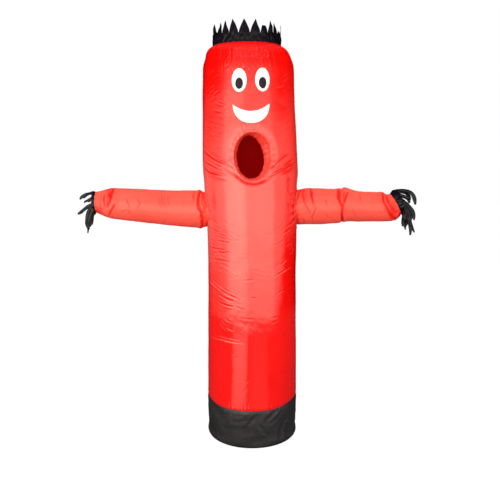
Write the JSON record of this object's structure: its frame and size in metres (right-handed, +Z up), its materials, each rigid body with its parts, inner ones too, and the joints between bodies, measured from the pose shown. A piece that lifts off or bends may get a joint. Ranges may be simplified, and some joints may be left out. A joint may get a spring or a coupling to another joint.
{
  "type": "inflatable air dancer costume",
  "caption": "Wearable inflatable air dancer costume: a tall red cloth tube with a rounded top, jagged black crown, cartoon face, face opening, fringed sleeves and a black turned-under hem.",
  "frame": {"origin": "on the floor, on the axis of the tube's lower half", "axes": "+Z up, -Y the front with the face, +X towards the sleeve on the right as seen from the front"},
  "size_m": [1.6819, 0.4611, 2.051],
  "materials": {
    "red_nylon": "thin coated red nylon taffeta with a soft sheen",
    "black_nylon": "thin black nylon taffeta, dull satin",
    "white_cloth": "plain white cloth, matt",
    "black_cloth": "plain black cloth, matt"
  },
  "bodies": {
    "root": {"tube": "red_nylon", "top_disc": "red_nylon", "face_funnel": "red_nylon", "left_sleeve": "red_nylon", "right_sleeve": "red_nylon", "hem_band": "black_nylon", "crown_strip": "black_nylon", "left_fringe": "black_nylon", "right_fringe": "black_nylon", "left_eye": "white_cloth", "right_eye": "white_cloth", "smile": "white_cloth", "left_pupil": "black_cloth", "right_pupil": "black_cloth"}
  },
  "joints": []
}
